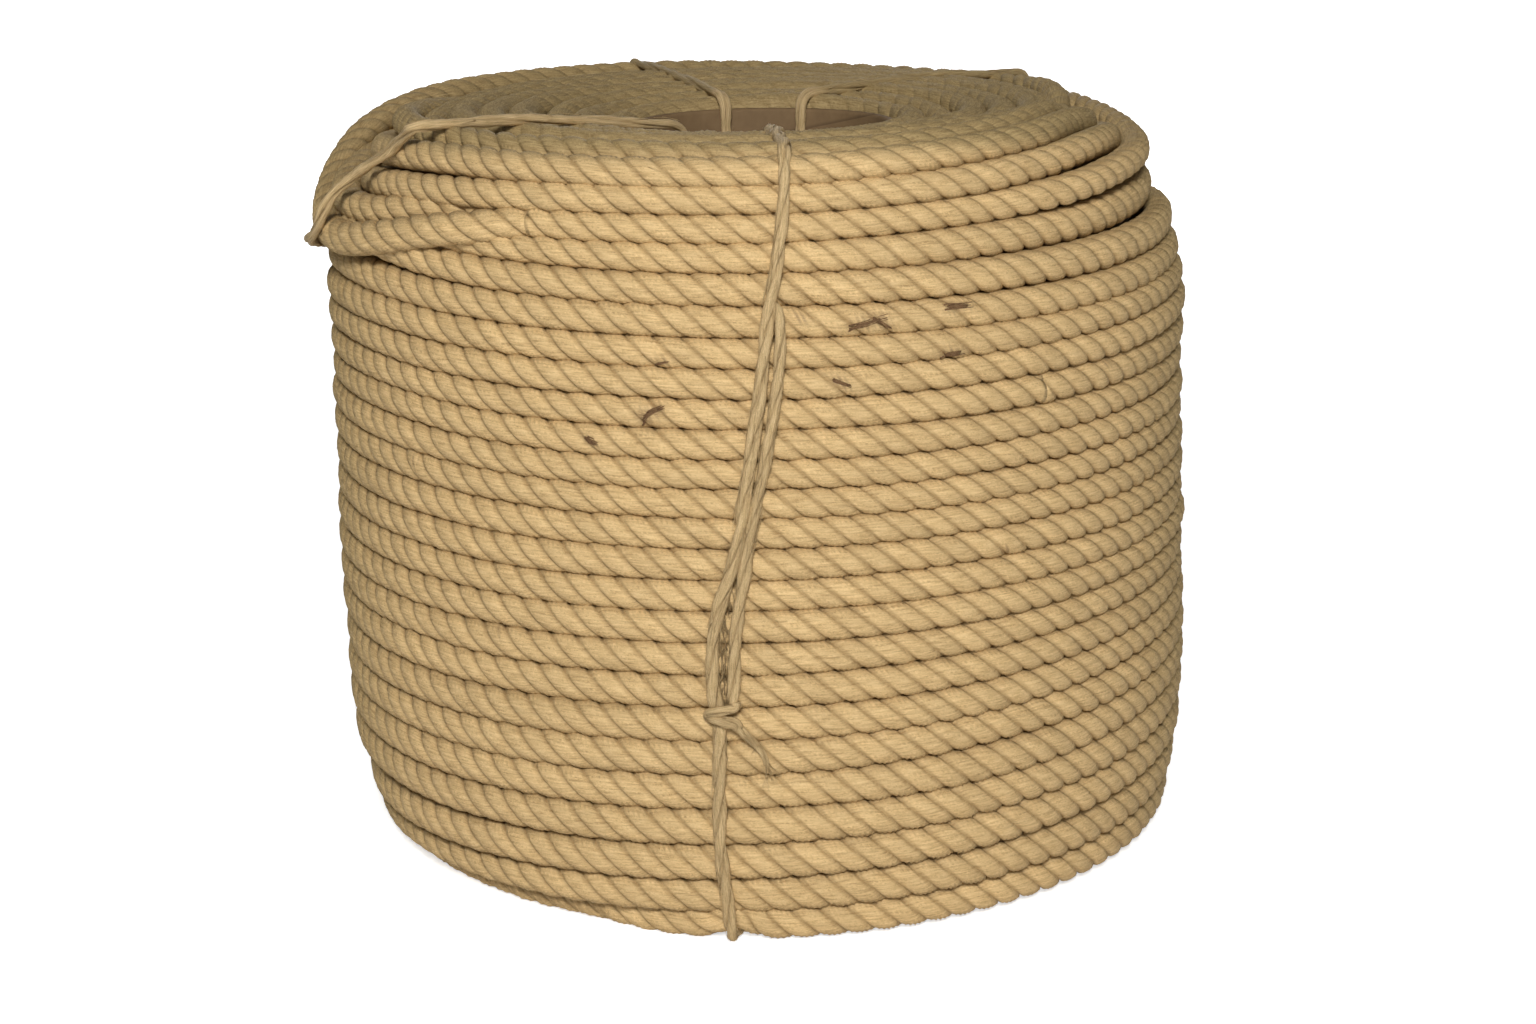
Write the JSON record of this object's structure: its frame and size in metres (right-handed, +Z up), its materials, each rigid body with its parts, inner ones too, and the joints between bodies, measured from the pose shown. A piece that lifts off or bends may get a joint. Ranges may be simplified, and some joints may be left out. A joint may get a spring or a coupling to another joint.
{
  "type": "coiled dock line",
  "caption": "Factory coil of three-strand natural-fibre dock line, wound on a board core tube and bound with twine lashings through the bore.",
  "frame": {"origin": "centre of the coil's base, on the ground plane", "axes": "+Z up along the coil's axis, front (the skewed lashing with its knot) toward -Y, +X to the right"},
  "size_m": [0.3794, 0.3735, 0.3097],
  "materials": {
    "rope": "natural three-strand fibre rope, dry",
    "twine": "loose-laid natural fibre twine",
    "whipping": "waxed thread",
    "board": "brown kraft board"
  },
  "bodies": {
    "coil": {"core_tube": "board", "rope_layer_01": "rope", "rope_layer_02": "rope", "rope_layer_03": "rope", "rope_layer_04": "rope", "rope_layer_05": "rope", "rope_layer_06": "rope", "rope_layer_07": "rope", "rope_layer_08": "rope", "rope_layer_09": "rope", "rope_layer_10": "rope", "rope_loose_turn": "rope", "rope_inner_lead": "rope", "lashing_left": "twine", "lashing_left_knot": "twine"},
    "front_lashing": {"lashing_front": "twine", "lashing_front_return": "twine", "lashing_front_knot": "twine"},
    "front_tail": {"lashing_front_tail": "twine"},
    "back_lashing": {"lashing_back": "twine", "lashing_back_knot": "twine"},
    "right_lashing": {"lashing_right": "twine", "lashing_right_knot": "twine"},
    "outer_end": {"rope_end_outer": "rope", "whipping_outer": "whipping"},
    "inner_end": {"rope_end_inner": "rope", "whipping_inner": "whipping"}
  },
  "joints": [
    {"name": "front_lashing_shift", "type": "hinge", "parent": "coil", "child": "front_lashing", "pos_m": [0, 0, 0.15], "axis": [0, 0, 1], "range_deg": [-3, 3]},
    {"name": "back_lashing_shift", "type": "hinge", "parent": "coil", "child": "back_lashing", "pos_m": [0, 0, 0.15], "axis": [0, 0, 1], "range_deg": [-3, 3]},
    {"name": "right_lashing_shift", "type": "hinge", "parent": "coil", "child": "right_lashing", "pos_m": [0, 0, 0.15], "axis": [0, 0, 1], "range_deg": [-3, 3]},
    {"name": "front_tail_swing", "type": "hinge", "parent": "front_lashing", "child": "front_tail", "pos_m": [-0.01821, -0.18571, 0.094], "axis": [-0.0976, -0.9952, 0], "range_deg": [-20, 45]},
    {"name": "outer_end_peel", "type": "hinge", "parent": "coil", "child": "outer_end", "pos_m": [0.10799, 0.14074, 0.2991], "axis": [0, 0, -1], "range_deg": [0, 30]},
    {"name": "inner_end_lean", "type": "hinge", "parent": "coil", "child": "inner_end", "pos_m": [0.02225, -0.03854, 0.02], "axis": [-0.866, -0.5, 0], "range_deg": [0, 55]}
  ]
}
